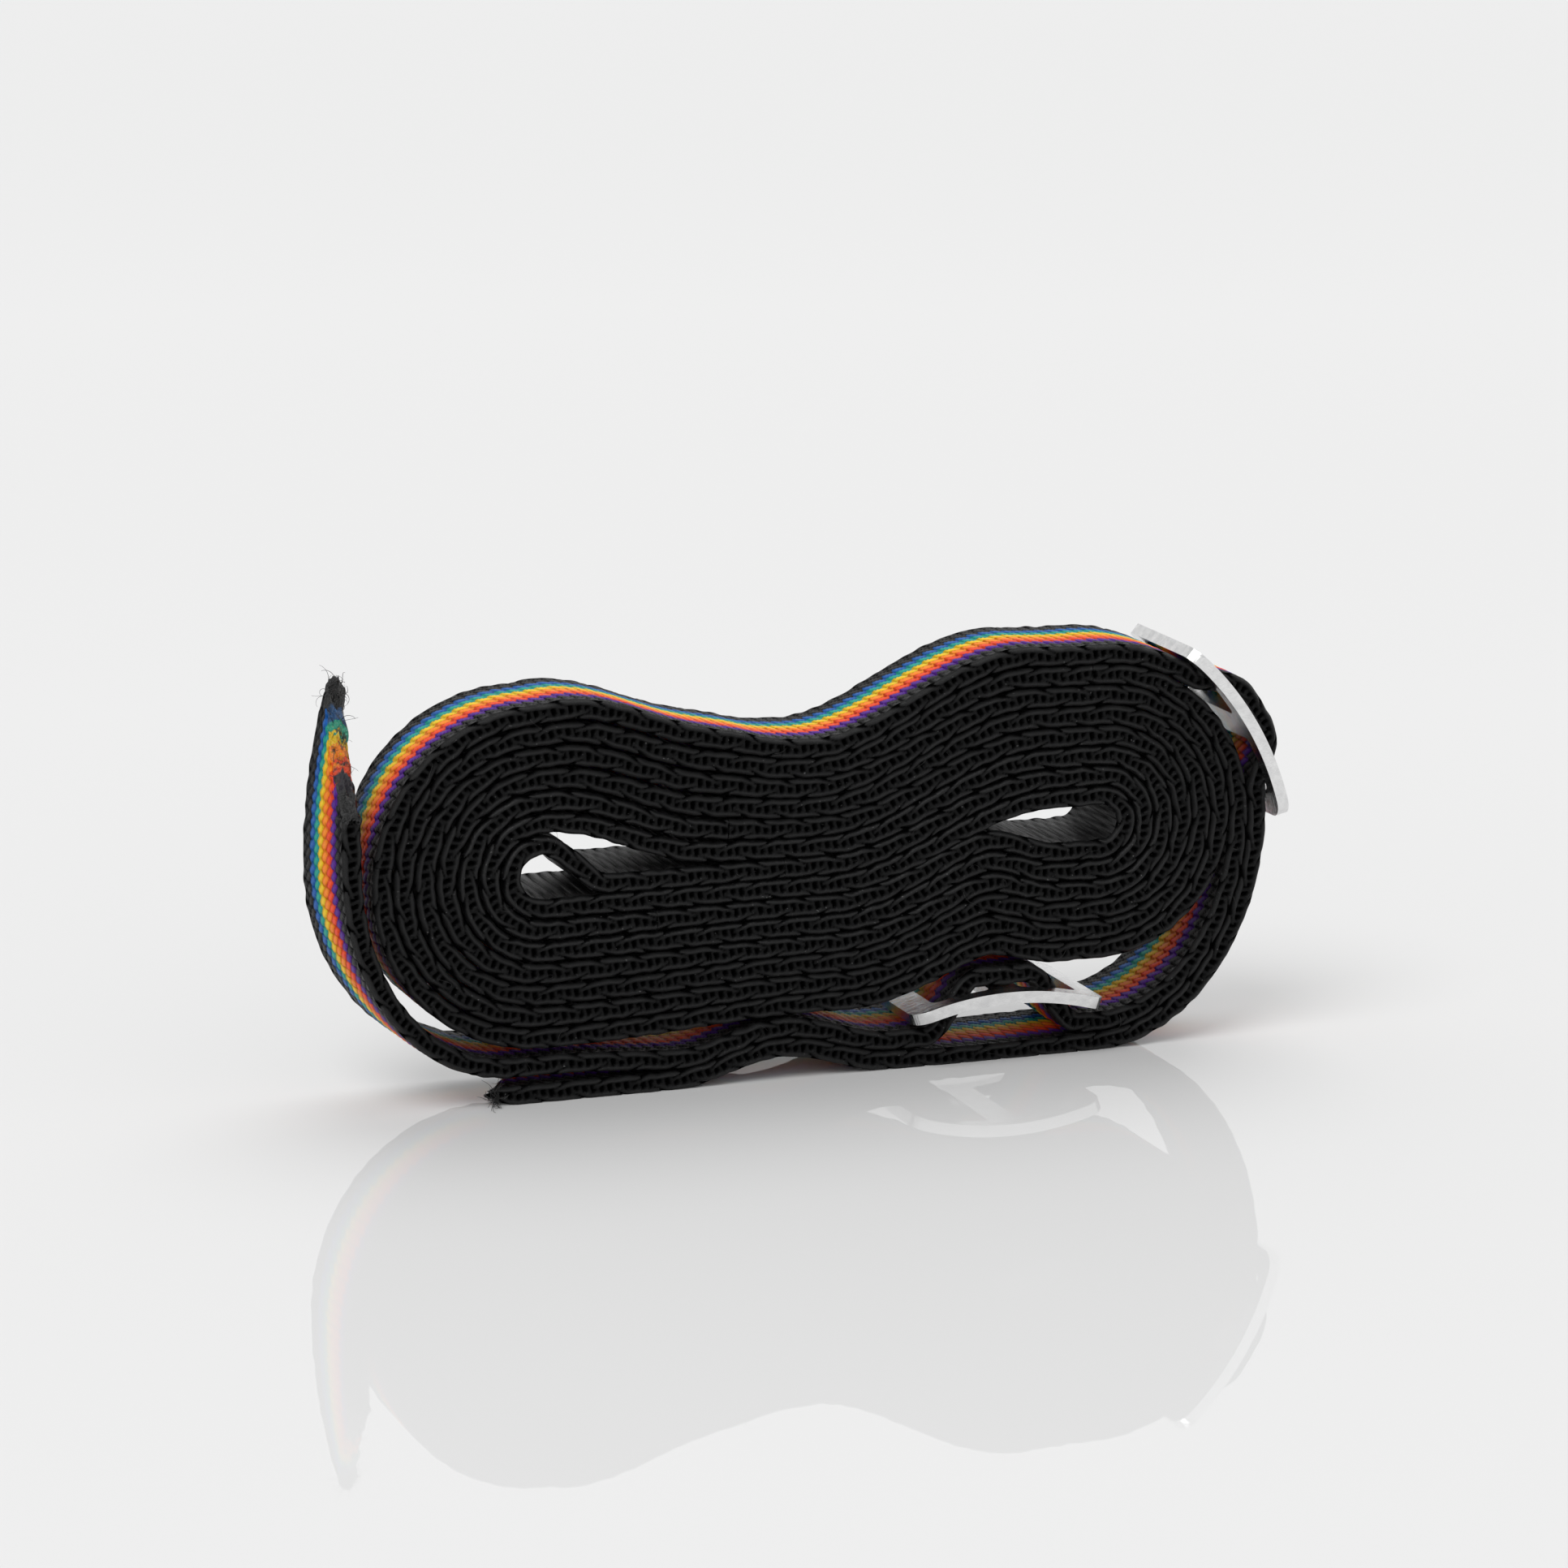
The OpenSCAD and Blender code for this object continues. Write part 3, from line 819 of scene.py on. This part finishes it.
upper = buckle_mesh("upper_slide_buckle")
place_on_node(upper, "upper_buckle", math.radians(90 - UPPER_ANGLE))
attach(upper, "buckle_up")
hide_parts("upper_buckle")
lower = buckle_mesh("lower_slide_buckle")
place_on_node(lower, "lower_buckle", 0.0)
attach(lower, "buckle_low")
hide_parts("lower_buckle")


# ---------------------------------------------------------------- loose fibres
def fibre_mesh(name, roots, seed, length, radius):
    """Thin curled closed tubes that start at the roots and wander outward, none of them below the floor."""
    rng = np.random.default_rng(seed)
    verts, faces = [], []
    sides, steps = 4, 12
    for root, direction in roots:
        p = np.array(root, float)
        d = np.array(direction, float) + rng.normal(0, 0.35, 3)
        d /= np.linalg.norm(d)
        curl = rng.normal(0, 0.55, 3)
        reach = length * rng.uniform(0.35, 1.3)
        thick = radius * rng.uniform(0.7, 1.3)
        base = len(verts)
        for i in range(steps + 1):
            side = np.cross(d, (0.3, 0.9, 0.2))
            side /= np.linalg.norm(side)
            up = np.cross(d, side)
            r = thick * (1 - 0.6 * i / steps)
            for k in range(sides):
                a = 2 * math.pi * k / sides
                verts.append(p + side * r * math.cos(a) + up * r * math.sin(a))
            p = p + d * reach / steps
            curl = curl + rng.normal(0, 0.25, 3)
            d = d + np.cross(curl, d) * 0.22
            d /= np.linalg.norm(d)
            p[2] = max(p[2], 0.1 * MM)
        for i in range(steps):
            for k in range(sides):
                a, b = base + i * sides + k, base + i * sides + (k + 1) % sides
                faces.append((a, b, b + sides, a + sides))
        faces.append(tuple(base + k for k in range(sides))[::-1])
        faces.append(tuple(base + steps * sides + k for k in range(sides)))
    mesh = bpy.data.meshes.new(name)
    mesh.from_pydata([tuple(v) for v in verts], [], faces)
    mesh.update()
    mesh.shade_smooth()
    mesh.materials.append(fluff_material)
    obj = bpy.data.objects.new(name, mesh)
    bpy.context.scene.collection.objects.link(obj)
    return obj


def edge_roots(s_values, seed):
    """Roots on the near selvage at distances along the path, leaving it square on."""
    rng = np.random.default_rng(seed)
    roots = []
    for s in s_values:
        pos, nor = path_at(np.array([s]))
        z = rng.uniform(-0.7, 0.7) * CORE_H
        root = (pos[0, 0] + nor[0, 0] * z, -WEB_W / 2 + 0.1 * MM, pos[0, 1] + nor[0, 1] * z)
        roots.append((root, (rng.normal(0, 0.8), -0.7, rng.normal(0, 0.8))))
    return roots


ROLL_FIBRES, TIP_FIBRES, FLOOR_FIBRES = 46, 70, 90
THIN_FIBRE_R, THICK_FIBRE_R = 0.018 * MM, 0.036 * MM
TIP_CROWDING, FLOOR_CROWDING = 2.6, 2.5       # powers that crowd the fibres towards an end's long edge
rng = np.random.default_rng(5)
roll_roots = edge_roots(rng.uniform(roll_start, roll_end, ROLL_FIBRES), 6)
roll_fluff = fibre_mesh("roll_loose_fibres", roll_roots, 7, 2.4 * MM, THIN_FIBRE_R)
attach(roll_fluff, "roll")

tip_roots = []
for _ in range(TIP_FIBRES):
    share = rng.uniform(0, 1) ** TIP_CROWDING
    y = WEB_W / 2 - share * WEB_W
    pos, nor = path_at(np.array([CUT_RISE * share]))
    z = rng.uniform(-0.9, 0.9) * CORE_H
    root = (pos[0, 0] + nor[0, 0] * z, y, pos[0, 1] + nor[0, 1] * z)
    tip_roots.append((root, (rng.normal(0, 0.5), rng.normal(0, 0.3), 0.6)))
standing_fluff = fibre_mesh("standing_end_fibres", tip_roots, 11, 2.1 * MM, THICK_FIBRE_R)
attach(standing_fluff, "standing_end")

floor_roots = []
for _ in range(FLOOR_FIBRES):
    share = rng.uniform(0, 1) ** FLOOR_CROWDING
    y = (share - 0.5) * WEB_W
    root = (floor_low.x + 0.6 * MM + FLOOR_CUT * share, y, rng.uniform(0.2, 0.6) * WEB_T)
    floor_roots.append((root, (-0.8, rng.normal(-0.5, 0.4), rng.normal(0.2, 0.4))))
floor_fluff = fibre_mesh("floor_end_fibres", floor_roots, 13, 2.4 * MM, THICK_FIBRE_R)
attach(floor_fluff, "floor_end")


# ---------------------------------------------------------------- stage, lights and camera
FLOOR_TONE = 0.70
FLOOR_HALF = 4.0
WORLD_LIGHT = 0.855
OVERHEAD_LIGHT = 0.40
CAMERA_AZIMUTH, CAMERA_ELEVATION = -20.0, 12.3    # degrees, seen from a little to the left and above
CAMERA_DISTANCE = 0.62
CAMERA_LENS = 134.9                               # for a sensor 36 wide
AIM_HEIGHT = 32.3 * MM


def make_floor():
    material, tree, shader = new_material("glossy_pale_floor")
    shader.inputs["Base Color"].default_value = (FLOOR_TONE, FLOOR_TONE, FLOOR_TONE, 1)
    shader.inputs["Roughness"].default_value = 0.008
    shader.inputs["IOR"].default_value = 1.2
    mesh = bpy.data.meshes.new("floor")
    corners = [(x * FLOOR_HALF, y * FLOOR_HALF, 0) for x, y in ((-1, -1), (1, -1), (1, 1), (-1, 1))]
    mesh.from_pydata(corners, [], [(0, 1, 2, 3)])
    mesh.materials.append(material)
    obj = bpy.data.objects.new("floor", mesh)
    bpy.context.scene.collection.objects.link(obj)


def sun_light(name, azimuth, elevation, softness, strength):
    data = bpy.data.lights.new(name, "SUN")
    data.energy = strength
    data.angle = math.radians(softness)
    obj = bpy.data.objects.new(name, data)
    a, e = math.radians(azimuth), math.radians(elevation)
    towards = Vector((math.sin(a) * math.cos(e), -math.cos(a) * math.cos(e), math.sin(e)))
    obj.rotation_euler = towards.to_track_quat("Z", "Y").to_euler()
    bpy.context.scene.collection.objects.link(obj)


def make_world():
    """An even white room, darker overhead, so that upward metal faces look greyer than upright ones."""
    world = bpy.data.worlds.new("studio")
    world.use_nodes = True
    tree = world.node_tree
    background = tree.nodes["Background"]
    coordinates = tree.nodes.new("ShaderNodeTexCoord")
    split = tree.nodes.new("ShaderNodeSeparateXYZ")
    tree.links.new(coordinates.outputs["Generated"], split.inputs[0])
    light = map_range(tree, split.outputs[2], 0.35, 1.0, WORLD_LIGHT, OVERHEAD_LIGHT)
    background.inputs[0].default_value = (1, 1, 1, 1)
    tree.links.new(light, background.inputs[1])
    bpy.context.scene.world = world


def make_camera():
    azimuth, elevation = math.radians(CAMERA_AZIMUTH), math.radians(CAMERA_ELEVATION)
    aim = Vector((WAIST_X, low.y, AIM_HEIGHT))
    back = Vector((
        math.sin(azimuth) * math.cos(elevation),
        -math.cos(azimuth) * math.cos(elevation),
        math.sin(elevation),
    ))
    data = bpy.data.cameras.new("camera")
    data.sensor_width = 36
    data.lens = CAMERA_LENS
    data.clip_start, data.clip_end = 0.01, 20
    obj = bpy.data.objects.new("camera", data)
    obj.location = aim + back * CAMERA_DISTANCE
    obj.rotation_euler = (-back).to_track_quat("-Z", "Y").to_euler()
    bpy.context.scene.collection.objects.link(obj)
    bpy.context.scene.camera = obj


make_floor()
make_world()
sun_light("key", -50, 55, 35, 1.35)
sun_light("rim", 150, 60, 45, 0.95)
make_camera()
bpy.context.scene.view_settings.view_transform = "Standard"

import json
